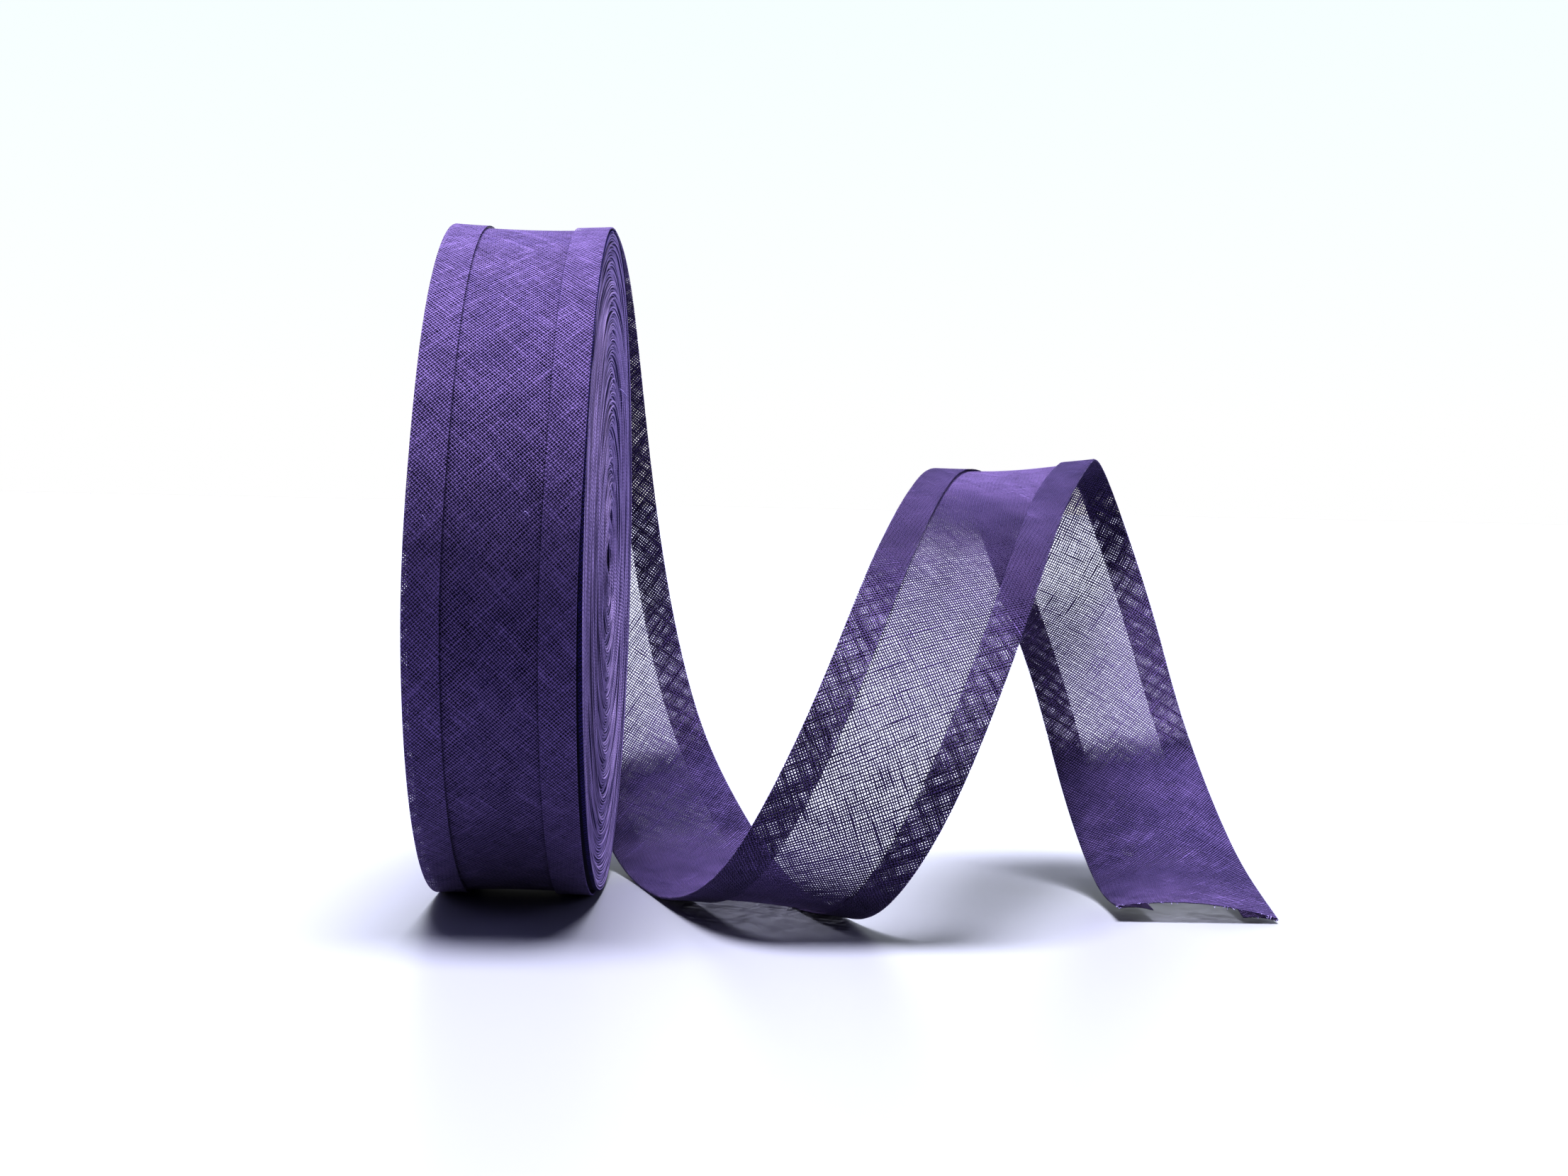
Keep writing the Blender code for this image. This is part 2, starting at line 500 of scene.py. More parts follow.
@dataclass(frozen=True)
class ClothFinish:
    """A finish of piece-dyed cotton in plain weave.

    Attributes:
        name: Name of the material.
        thread: Colour of a thread's crown.
        hollow_shade: Painted shade on a thread's flanks and where it dips under another.
        open_weave: True where light passes between the threads.
        translucency: Share of the light that passes through a thread.
        slimness: Width of the threads against their full width.
        relief: Height of the weave, in millimetres.
        sheen: Strength of the fuzz that catches light at a low angle.
        painted_flap_shadow: Brightness of the painted contact shadow on the line beside a flap's free
            edge.
        crevice_shadow_from: Distance from the middle to the crevice beside a turn, where a painted
            shadow lies, in millimetres.
        painted_brightness_when_pressed: Painted brightness where the weave is pressed close: above 1 it
            paints light, below 1 shade, and it goes the other way where the weave parts.
        painted_brightness_limits: Least and greatest brightness that this painted light and shade may
            give.
        tone_patch: Size of the dye's paler and darker patches, in millimetres.
        tone_swing: How much the patches change the brightness.
        crevice: Half-widths of the painted shadow's dark core and of its soft edge, in millimetres.
        crevice_shadow_brightness: Brightness of the painted shadow inside the crevice.
        hollow_below: Height, 0 to 1, under which a thread takes the painted shade's colour.
    """

    name: str
    thread: str
    hollow_shade: str
    open_weave: bool = True
    translucency: float = 0.06
    slimness: float = 1.0
    relief: float = 0.12
    sheen: float = 0.32
    painted_flap_shadow: float = 1.0
    crevice_shadow_from: float = 99.0
    painted_brightness_when_pressed: float = 1.0
    painted_brightness_limits: tuple[float, float] = (0.85, 1.6)
    tone_patch: float = 6.25
    tone_swing: float = 0.42
    crevice: tuple[float, float] = (0.25, 0.4)
    crevice_shadow_brightness: float = 0.3
    hollow_below: float = 0.30

    def build(self) -> bpy.types.Material:
        """Make the material.

        Returns:
            A material that reads the cloth's own coordinates in metres.
        """
        material = bpy.data.materials.new(self.name)
        add = NodeSheet(material).add
        weave = PlainWeave(add, TAPE, self.slimness)
        tone = add("TexNoise", weave.uv, links={
            "Scale": 1 / (self.tone_patch * MM), "Detail": 3.0, "Roughness": 0.6})
        swing = add("Math", tone, 0.5, operation="SUBTRACT")
        # Random dye patches, and painted shade that darkens each thread from its crown to its flanks
        # and where it dips.
        shade = add("Math", swing, self.tone_swing, weave.height, operation="MULTIPLY_ADD")
        # Painted contact shadow on the line beside a flap's free edge.
        line = add("MapRange", links={"Value": weave.flap_shadow_ramp, "To Min": self.painted_flap_shadow})
        # Painted shadow in the crevice beside a turn's edge.
        aside = add("Math", weave.reach, self.crevice_shadow_from * MM, operation="SUBTRACT")
        crevice_shadow = add("MapRange", links={
            "Value": add("Math", aside, operation="ABSOLUTE"),
            "From Min": self.crevice[0] * MM, "From Max": self.crevice[1] * MM,
            "To Min": self.crevice_shadow_brightness, "To Max": 1.0})
        # Painted light and shade by tightness, held within its limits.
        pressed = add("Math", weave.tight, self.painted_brightness_when_pressed - 1, 1.0, operation="MULTIPLY_ADD")
        painted_press_light = add("Clamp", links={
            "Value": pressed, "Min": self.painted_brightness_limits[0], "Max": self.painted_brightness_limits[1]})
        for dimming in (line, crevice_shadow, painted_press_light):
            shade = add("Math", shade, dimming, operation="MULTIPLY")
        depth = add("MapRange", links={
            "Value": shade, "From Min": self.hollow_below, "From Max": 1.0},
            interpolation_type="SMOOTHSTEP")
        colour = add("Mix", depth, links={
            "A": linear_rgb(self.hollow_shade), "B": linear_rgb(self.thread)}, data_type="RGBA")
        bump = add("Bump", links={
            "Strength": 1.0, "Distance": self.relief * MM, "Height": weave.height})
        skin = add("BsdfPrincipled", links={
            "Base Color": colour, "Roughness": 0.78, "IOR": COTTON_IOR, "Sheen Weight": self.sheen,
            "Sheen Roughness": 0.45, "Sheen Tint": linear_rgb(FUZZ_TONE),
            "Specular IOR Level": 0.2, "Normal": bump})
        through = add("BsdfTranslucent", links={"Color": colour})
        result = add("MixShader", self.translucency, skin, through)
        if self.open_weave:
            gap = add("BsdfTransparent")
            result = add("MixShader", weave.cover, gap, result)
        add("OutputMaterial", links={"Surface": result})
        return material


class PlainWeave:
    """A plain weave laid at 45 degrees to the tape, as nodes.

    Warp threads are the whole numbers of one diagonal count and weft threads
    those of the other. A thread wanders a little, swells into slubs, and rises
    over every second thread that it crosses.
    """

    def __init__(self, add: Adder, tape: Tape, slimness: float) -> None:
        """Build the weave's nodes.

        Args:
            add: Adds a node to the material.
            tape: Sizes of the threads.
            slimness: Width of the threads against their full width.
        """
        self.add = add
        self.tight = add("Attribute", attribute_name="tight").node.outputs["Fac"]
        full = tape.thread_width * slimness / 2
        self.half = add("Math", self.tight, full * YARN.tight_width, full, operation="MULTIPLY_ADD")
        self.uv = add("UVMap", uv_map="ClothMetres")
        parts = add("SeparateXYZ", self.uv).node.outputs
        rise = add("Math", parts[0], parts[1], operation="ADD")
        fall = add("Math", parts[0], parts[1], operation="SUBTRACT")
        warp = add("Math", rise, 1 / (math.sqrt(2) * tape.warp_pitch * MM), operation="MULTIPLY")
        weft = add("Math", fall, 1 / (math.sqrt(2) * tape.weft_pitch * MM), operation="MULTIPLY")
        warp, weft = self.wander(warp, weft, 3.0), self.wander(weft, warp, 17.0)
        over = add("Math", self.wave(warp), self.wave(weft), operation="MULTIPLY")
        under = add("Math", over, -1.0, operation="MULTIPLY")
        warp_cover, warp_height = self.thread(warp, weft, over, tape.warp_pitch, 5.0)
        weft_cover, weft_height = self.thread(weft, warp, under, tape.weft_pitch, 29.0)
        self.cover = add("Math", warp_cover, weft_cover, operation="MAXIMUM")
        self.height = add("Math", warp_height, weft_height, operation="MAXIMUM")
        self.reach = add("Math", parts[0], operation="ABSOLUTE")
        # Ramp away from the line beside a flap's free edge, which the finish darkens as a painted
        # shadow.
        away = add(
            "Math", add("Math", self.reach, tape.flap_edge * MM, operation="SUBTRACT"),
            operation="ABSOLUTE")
        self.flap_shadow_ramp = add("MapRange", links={
            "Value": away, "From Min": 0.05 * MM, "From Max": 0.2 * MM})

    def wave(self, count: bpy.types.NodeSocket) -> bpy.types.NodeSocket:
        """Swing once up and down over every two threads."""
        turned = self.add("Math", count, math.pi, operation="MULTIPLY")
        return self.add("Math", turned, operation="SINE")

    def wander(self, count: bpy.types.NodeSocket, along: bpy.types.NodeSocket,
               seed: float) -> bpy.types.NodeSocket:
        """Shift threads sideways by part of a pitch, slowly and then in short kinks."""
        add = self.add
        across = add("Math", count, YARN.drift_rates[0], operation="MULTIPLY")
        slow = add("Math", along, YARN.drift_rates[1], operation="MULTIPLY")
        drift = add("TexNoise", add("CombineXYZ", across, slow, seed), links=PLAIN_NOISE)
        quick = add("Math", along, YARN.kink_rate, operation="MULTIPLY")
        kink = add("TexNoise", add("CombineXYZ", count, quick, seed), links=PLAIN_NOISE)
        shift = add(
            "Math", add("Math", drift, 0.5, operation="SUBTRACT"), YARN.drift, count,
            operation="MULTIPLY_ADD")
        return add(
            "Math", add("Math", kink, 0.5, operation="SUBTRACT"), YARN.kink, shift,
            operation="MULTIPLY_ADD")

    def thread(self, count: bpy.types.NodeSocket, along: bpy.types.NodeSocket,
               rise: bpy.types.NodeSocket, pitch: float, seed: float) -> tuple:
        """Draw one set of threads.

        Args:
            count: Thread number and place across the thread.
            along: Place along the thread, in pitches.
            rise: How far the thread stands above the cloth's middle, -1 to 1.
            pitch: Distance from thread to thread, in millimetres.
            seed: Picks the pattern of slubs.

        Returns:
            Sockets for cover, 0 or 1, and height, 0 to 1.
        """
        add = self.add
        number = add("Math", count, operation="FLOOR")
        place = add("Math", add("Math", count, number, operation="SUBTRACT"), 0.5, operation="SUBTRACT")
        own = add("Math", number, YARN.own_step, operation="MULTIPLY")
        slow = add("Math", along, YARN.swell_rate, operation="MULTIPLY")
        uneven = add(
            "TexNoise", add("CombineXYZ", own, slow, seed),
            links={"Scale": 1.0, "Detail": 2.0, "Roughness": 0.6})
        swell = add("Math", uneven, YARN.swell, YARN.least_width, operation="MULTIPLY_ADD")
        rare = add(
            "TexNoise",
            add(
                "CombineXYZ", own, add("Math", along, YARN.slub_rate, operation="MULTIPLY"),
                seed + YARN.slub_seed),
            links=PLAIN_NOISE)
        slub = add("MapRange", links={
            "Value": rare, "From Min": YARN.slub_from, "From Max": YARN.slub_full,
            "To Max": YARN.slub_width})
        width = add("Math", swell, slub, operation="ADD")
        half = add(
            "Math", width, add("Math", self.half, 1 / pitch, operation="MULTIPLY"),
            operation="MULTIPLY")
        off = add("Math", add("Math", place, operation="ABSOLUTE"), half, operation="DIVIDE")
        cover = add("Math", off, 1.0, operation="LESS_THAN")
        inside = add("Math", 1.0, add("Math", off, off, operation="MULTIPLY"), operation="SUBTRACT")
        dome = add("Math", add("Math", inside, 0.0, operation="MAXIMUM"), operation="SQRT")
        lift = add("Math", rise, 0.5, 0.5, operation="MULTIPLY_ADD")
        level = add(
            "Math", dome, YARN.roundness,
            add("Math", lift, 1 - YARN.roundness, operation="MULTIPLY"), operation="MULTIPLY_ADD")
        return cover, add("Math", level, cover, operation="MULTIPLY")


@dataclass(frozen=True)
class WoundFinish:
    """A finish of folded tape edges, wound tight and seen end-on.

    Attributes:
        name: Name of the material.
        thread: Colour of the folds' crowns.
        hollow_shade: Painted shade in the gaps between the turns.
        relief: Height of the threads, in millimetres.
        patch: Length along a turn over which its gap and tone change, in millimetres.
        own_step: How far apart the patterns of neighbouring turns are read.
        gap_step: The same for the gaps, in millimetres.
        tone_step: The same for the tones, in millimetres.
        gap_shadow_widths: Least and greatest share of a turn that the painted shadow in its gap takes.
        gap_shadow_edge: Share of a turn over which that painted shadow fades out.
        turn_tones: Least and greatest brightness of a turn.
        twine_share: Share of the brightness that the slanting threads give.
        speck_share: Share of it that fine specks give.
        ground: Brightness that is left between threads and specks.
    """

    name: str
    thread: str
    hollow_shade: str
    relief: float
    patch: float = 26.0
    own_step: float = 5.7
    gap_step: float = 26.0
    tone_step: float = 81.0
    gap_shadow_widths: tuple[float, float] = (0.03, 0.46)
    gap_shadow_edge: float = 0.22
    turn_tones: tuple[float, float] = (0.66, 1.24)
    twine_share: float = 0.25
    speck_share: float = 0.5
    ground: float = 0.38

    def build(self) -> bpy.types.Material:
        """Make the material.

        Returns:
            A material whose threads cross each turn at a slant.
        """
        material = bpy.data.materials.new(self.name)
        add = NodeSheet(material).add
        uv = add("UVMap", uv_map="ClothMetres")
        parts = add("SeparateXYZ", uv).node.outputs
        turn = add("Math", parts[1], 1 / (ROLL.pitch * MM), operation="MULTIPLY")
        along = add("Math", parts[0], 1 / (TAPE.weft_pitch * math.sqrt(2) * MM), operation="MULTIPLY")
        angle = add("Attribute", attribute_name="angle").node.outputs["Fac"]
        wound = add(
            "Math", angle, 1 / (2 * math.pi), add("Math", turn, operation="FLOOR"),
            operation="MULTIPLY_ADD")
        own = add("Math", wound, self.own_step, operation="MULTIPLY")
        radius = add("Math", parts[1], ROLL.hole_radius * MM, operation="ADD")
        east = add("Math", add("Math", angle, operation="COSINE"), radius, operation="MULTIPLY")
        north = add("Math", add("Math", angle, operation="SINE"), radius, operation="MULTIPLY")
        place = add("Math", add("Math", turn, operation="FRACT"), 0.5, operation="SUBTRACT")
        crest = add(
            "Math", 1.0,
            add("Math", add("Math", place, operation="ABSOLUTE"), 2.0, operation="MULTIPLY"),
            operation="SUBTRACT")
        slant = add("Math", along, own, operation="ADD")
        twine = add(
            "Math", add("Math", add("Math", slant, math.pi, operation="MULTIPLY"), operation="SINE"),
            operation="ABSOLUTE")
        streak = add(
            "TexNoise",
            add("CombineXYZ", east, north, add("Math", own, MM * self.gap_step, operation="MULTIPLY")),
            links={"Scale": 1 / (self.patch * MM), "Detail": 2.0, "Roughness": 0.6})
        band = add(
            "TexNoise",
            add("CombineXYZ", north, east, add("Math", own, MM * self.tone_step, operation="MULTIPLY")),
            links={"Scale": 1 / (self.patch * MM), "Detail": 1.0, "Roughness": 0.5})
        speck = add(
            "TexNoise", add("CombineXYZ", along, add("Math", turn, 2.0, operation="MULTIPLY"), 0.5),
            links={"Scale": 1.3, "Detail": 2.0, "Roughness": 0.6})
        # Painted shade: each turn keeps the crowns' colour at its crest and darkens toward the gaps
        # between turns.
        gap_shadow = add("MapRange", links={
            "Value": streak, "From Min": 0.42, "From Max": 0.70, "To Min": self.gap_shadow_widths[0],
            "To Max": self.gap_shadow_widths[1]})
        lit = add("MapRange", links={
            "Value": crest, "From Min": gap_shadow,
            "From Max": add("Math", gap_shadow, self.gap_shadow_edge, operation="ADD")})
        own_tone = add("MapRange", links={
            "Value": band, "From Min": 0.36, "From Max": 0.60, "To Min": self.turn_tones[0],
            "To Max": self.turn_tones[1]})
        fuzz = add(
            "Math", twine, self.twine_share,
            add("Math", speck, self.speck_share, operation="MULTIPLY"), operation="MULTIPLY_ADD")
        clear = add(
            "Math", add("Math", fuzz, self.ground, operation="ADD"), own_tone, operation="MULTIPLY")
        shade = add("Math", lit, clear, operation="MULTIPLY")
        colour = add("Mix", shade, links={
            "A": linear_rgb(self.hollow_shade), "B": linear_rgb(self.thread)},
            data_type="RGBA", clamp_factor=True)
        height = add(
            "Math", twine, 0.6, add("Math", speck, 0.6, operation="MULTIPLY"),
            operation="MULTIPLY_ADD")
        bump = add("Bump", links={
            "Strength": 1.0, "Distance": self.relief * MM, "Height": height})
        skin = add("BsdfPrincipled", links={
            "Base Color": colour, "Roughness": 0.85, "IOR": COTTON_IOR,
            "Sheen Weight": 0.15, "Sheen Roughness": 0.5, "Sheen Tint": linear_rgb(FUZZ_TONE),
            "Specular IOR Level": 0.2, "Normal": bump})
        add("OutputMaterial", links={"Surface": skin})
        return material


@dataclass(frozen=True)
class FibreFinish:
    """A finish of single cotton fibres and short threads, fuzzy and paler than the cloth."""

    name: str
    light: str
    dark: str

    def build(self) -> bpy.types.Material:
        """Make the material.

        Returns:
            A material whose tone changes along each fibre.
        """
        material = bpy.data.materials.new(self.name)
        add = NodeSheet(material).add
        place = add("TexCoord").node.outputs["Object"]
        tone = add("TexNoise", place, links={"Scale": 1 / (0.4 * MM), "Detail": 2.0, "Roughness": 0.5})
        colour = add("Mix", tone, links={
            "A": linear_rgb(self.dark), "B": linear_rgb(self.light)}, data_type="RGBA")
        skin = add("BsdfPrincipled", links={
            "Base Color": colour, "Roughness": 0.8, "IOR": COTTON_IOR,
            "Sheen Weight": 0.3, "Sheen Roughness": 0.5, "Specular IOR Level": 0.2})
        add("OutputMaterial", links={"Surface": skin})
        return material


# Light dyed cotton, woven plain and open: matt, with paler crowns, painted shade in its deep
# violet hollows, a painted shadow beside each flap's edge, and clear gaps that let the
# background through.
SHEER = ClothFinish(
    "sheer_plain_weave_dyed_cotton", "#8874AC", "#1A0E46", relief=0.17, painted_flap_shadow=0.78)
# The same yarn's round outer side: it hides the gaps at a low angle; its crowns are a touch
# paler as painted light, with more painted light where the weave is pressed close, painted
# shade where it parts, and a painted shadow beside each flap's edge.
OUTER_SHOULDERS = ClothFinish(
    "outer_yarn_shoulders_dyed_cotton", "#8A76AE", "#1A0E46", translucency=0.12, slimness=0.75,
    relief=0.17, painted_flap_shadow=0.7, painted_brightness_when_pressed=1.9)
# The same yarn's round inner side: it hides the gaps too, with painted shade where the
# weave is pressed close and painted light where it parts.
INNER_SHOULDERS = ClothFinish(
    "inner_yarn_shoulders_dyed_cotton", "#8874AC", "#1A0E46", translucency=0.12, slimness=0.75,
    relief=0.17, painted_brightness_when_pressed=0.7, painted_brightness_limits=(0.72, 1.25))
# The same cloth wound tight and closed, in darker colours that are painted shade under the
# open turn above it, with a painted shadow in the crevice by its edge, so the roll looks
# deeper in tone than the loose end.
UNDER_IN_PAINTED_SHADE = ClothFinish(
    "wound_plain_weave_dyed_cotton_in_painted_shade", "#46388A", "#120A34", open_weave=False, translucency=0.0,
    sheen=0.0, crevice_shadow_from=11.5)
# Loose cotton fibres: thin, fuzzy and pale, so they catch the light.
FIBRES = FibreFinish("stray_fibres_dyed_cotton", "#D0C6EE", "#7A66B4")
# Folded edges of the wound cotton: fine ridges, paler than the cloth on the rim partly as
# painted light of the bright side, with painted shade in the dark lines between them, and
# slanting threads that give them a soft grain.
EDGES = WoundFinish("folded_edges_of_wound_cotton", "#B4A2CC", "#241852", 0.14)


@dataclass
class Wander:
    """Slow, repeatable unevenness: each row drifts away from the row before it.

    Attributes:
        rows: Number of rows, such as turns of the roll.
        waves: Number of waves round a full turn.
        memory: Share of a row that it keeps from the row before.
        seed: Picks the pattern.
    """

    rows: int
    waves: int
    memory: float
    seed: int
    table: np.ndarray = field(init=False)

    def __post_init__(self) -> None:
        """Draw the waves' strengths once, from the seed."""
        random = np.random.default_rng(self.seed)
        fresh = random.normal(size=(self.rows, 2 * self.waves + 1))
        fresh /= np.sqrt(1 + np.arange(2 * self.waves + 1) // 2)
        table = fresh.copy()
        spare = math.sqrt(1 - self.memory**2)
        for row in range(1, self.rows):
            table[row] = self.memory * table[row - 1] + spare * fresh[row]
        self.table = table

    def read(self, place: np.ndarray, angle: np.ndarray) -> np.ndarray:
        """Read the unevenness.

        Args:
            place: Row number, with fractions.
            angle: Angle round the turn, in radians.

        Returns:
            About -1 to 1 for most places.
        """
        low = np.clip(np.floor(place).astype(int), 0, self.rows - 2)
        share = np.clip(place - low, 0, 1)[..., None]
        mixed = self.table[low] * (1 - share) + self.table[low + 1] * share
        order = np.arange(1, self.waves + 1)
        steps = angle[..., None] * order
        total = mixed[..., 0].copy()
        total += (mixed[..., 1::2] * np.cos(steps)).sum(-1)
        total += (mixed[..., 2::2] * np.sin(steps)).sum(-1)
        return total / math.sqrt(1 + self.waves)


@dataclass
class TapeSheet:
    """The outermost turn and the loose end, as one thin folded sheet.

    Attributes:
        step: Distance between the mesh's rows, in millimetres.
        first_angle: Where the outermost turn begins, in degrees past the top.
        last_angle: Where its table of sections ends.
        angle_step: Degrees between its sections.
        shoulders_before: How far before the loose end the thread shoulders begin.
        shoulders_fade: Length over which they reach their full width.
        vanishing: Tightness at which a thread's shoulder has no width.
        sunk_start: How far the turn's hidden start lies under the turn above.
        slack: How far the turn stands off at its slackest place.
        slack_angle: Where that is, in degrees.
        slack_spread: Degrees over which it fades out.
        ripple_step: Length of a ripple along the cloth.
        ripple_turn: How fast ripples change across the cloth, in radians.
        ripple_heights: Height on the roll, and what the loose end adds.
        loosening: Length over which the loose end's ripples grow.
        hang_reach: Length over which the flaps open toward the cut end.
        flap_lifts: A flap's least lift, its lift from ripples and that at the cut end.
        lowest_flap: Least height of a flap's layer above the surface.
        lowest_face: Least height of the face layer above the surface.
        length: Length of the whole path, worked out by lay.
        loose_from: Place along it where the loose end begins.
        along: Place of each row along it.
        tight: How tightly the weave is pressed at each point.
        points: Every point of the cloth.
        uvs: Its place on the flat cloth, in metres.
    """

    step: float = 1.2
    first_angle: float = -345.0
    last_angle: float = 8.0
    angle_step: float = 20.0
    shoulders_before: float = 6.0
    shoulders_fade: float = 22.0
    vanishing: float = -2.2
    sunk_start: float = 0.35
    slack: float = 0.25
    slack_angle: float = 245.0
    slack_spread: float = 45.0
    ripple_step: float = 14.0
    ripple_turn: float = 2.2
    ripple_heights: tuple[float, float] = (0.03, 0.09)
    loosening: float = 30.0
    hang_reach: float = 15.0
    flap_lifts: tuple[float, float, float] = (0.04, 0.08, 0.7)
    lowest_flap: float = 0.05
    lowest_face: float = 0.3
    length: float = field(init=False)
    loose_from: float = field(init=False)
    along: np.ndarray = field(init=False)
    tight: np.ndarray = field(init=False)
    points: np.ndarray = field(init=False)
    uvs: np.ndarray = field(init=False)

    def turn_section(self, angle: float) -> Section:
        """Place the outermost turn at an angle from the top, toward the back."""
        rows = np.array(SLIPS)
        left = float(np.interp(angle % 360.0, rows[:, 0], rows[:, 1]))
        sunk = self.sunk_start * max(0.0, 1 - (angle - self.first_angle) / self.angle_step)
        away = (angle % 360.0 - self.slack_angle) / self.slack_spread
        slack = self.slack * math.exp(-away**2)
        radius = ROLL.outer_turn_radius - sunk + slack
        turned = math.radians(angle)
        height = ROLL.axis_height + radius * math.cos(turned)
        return Section(-left, radius * math.sin(turned), height, 0, 0, ROLL.outer_dish)

    def sections(self) -> np.ndarray:
        """List the whole path's sections, from the roll to the cut end."""
        count = round((self.last_angle - self.first_angle) / self.angle_step) + 1
        angles = np.linspace(self.first_angle, self.last_angle, count)
        return np.array([*(self.turn_section(a) for a in angles), *LOOSE_SECTIONS], dtype=float)

    def lay(self) -> None:
        """Work out every point of the cloth and which way its inner side faces."""
        rows = self.sections()
        chords = np.linalg.norm(np.diff(rows[:, :3], axis=0), axis=1)
        knots = np.concatenate([[0.0], np.cumsum(chords)])
        self.length = float(knots[-1])
        self.loose_from = float(knots[len(rows) - len(LOOSE_SECTIONS)])
        along = np.linspace(0.0, self.length, round(self.length / self.step) + 1)
        values = smooth_curve(knots, rows, along)
        middle = values[:, :3]
        forward = np.gradient(middle, along, axis=0)
        forward /= np.linalg.norm(forward, axis=1)[:, None]
        turn, tilt = np.radians(values[:, 3]), np.radians(values[:, 4])
        across = np.stack([np.cos(tilt) * np.cos(turn), np.cos(tilt) * np.sin(turn), np.sin(tilt)], 1)
        across -= (across * forward).sum(1)[:, None] * forward
        across /= np.linalg.norm(across, axis=1)[:, None]
        inward = np.cross(forward, across)
        ripple = Wander(round(self.length / self.ripple_step) + 2, waves=3, memory=0.3, seed=11)
        loose = np.clip((along - self.loose_from) / self.loosening, 0.0, 1.0)
        hang = np.exp((along - self.length) / self.hang_reach)
        reaches = TAPE.reaches()
        self.points = np.zeros((len(along), len(reaches), 3))
        self.uvs = np.zeros((len(along), len(reaches), 2))
        for j, reach in enumerate(reaches):
            turned = np.full(len(along), reach / TAPE.flat_half * self.ripple_turn)
            ripples = ripple.read(along / self.ripple_step, turned)
            least, rippled, hung = self.flap_lifts
            lift = least + rippled * (1 + ripples) + hung * hang
            side, height = TAPE.folded(reach, lift)
            arch = values[:, 5] * (1 - (side / TAPE.half) ** 2)
            wave = ripples * (self.ripple_heights[0] + self.ripple_heights[1] * loose)
            inner = (arch + height + wave)[:, None]
            point = middle + side * across + inner * inward
            is_flap = abs(reach) > TAPE.half + TAPE.fold_radius
            lowest = self.lowest_flap if is_flap else self.lowest_face
            point[:, 2] = np.maximum(point[:, 2], lowest)
            self.points[:, j] = point
            self.uvs[:, j, 0] = reach * MM
            self.uvs[:, j, 1] = along * MM
        self.along = along
        presses = np.array(PRESSINGS)
        counted = np.interp(along, knots, np.arange(len(rows)) - (len(rows) - len(LOOSE_SECTIONS)))
        pressed = np.interp(counted, presses[:, 0], presses[:, 1])
        doubled = np.abs(np.array(reaches)) > TAPE.flap_edge
        extra = np.interp(counted, presses[:, 0], presses[:, 2])
        self.tight = pressed[:, None] + extra[:, None] * doubled[None, :]

    def shoulders(self, name: str, rise: float) -> bpy.types.Object:
        """Make the shoulders of the loose end's threads on one side of the cloth.

        Args:
            name: Name of the object.
            rise: Height above the middle of the cloth, toward its inner side.

        Returns:
            The object, whose threads close the weave at a low angle of view.
        """
        first = int(np.searchsorted(self.along, self.loose_from - self.shoulders_before))
        rows = self.points[first:]
        share = (self.along[first:] - self.along[first]) / self.shoulders_fade
        thinned = self.vanishing * (1.0 - np.clip(share, 0.0, 1.0))
        tight = self.tight[first:] + thinned[:, None]
        down = np.gradient(rows, axis=0)
        over = np.gradient(rows, axis=1)
        normal = np.cross(down, over)
        normal /= np.linalg.norm(normal, axis=2)[..., None]
        return grid_mesh(name, rows + rise * normal, self.uvs[first:], False,
                         {"tight": tight})

    def build(self) -> list[bpy.types.Object]:
        """Make the cloth and the shoulders of its threads.

        Returns:
            The cloth first, then its two sides.
        """
        self.lay()
        cloth = grid_mesh("loose_tape", self.points, self.uvs, False, {"tight": self.tight})
        cloth.data.materials.append(SHEER.build())
        sides = [
            self.shoulders("thread_shoulders_inner", TAPE.yarn_rise),
            self.shoulders("thread_shoulders_outer", -TAPE.yarn_rise),
        ]
        for side, finish in zip(sides, (INNER_SHOULDERS, OUTER_SHOULDERS)):
            side.data.materials.append(finish.build())
        return [cloth, *sides]


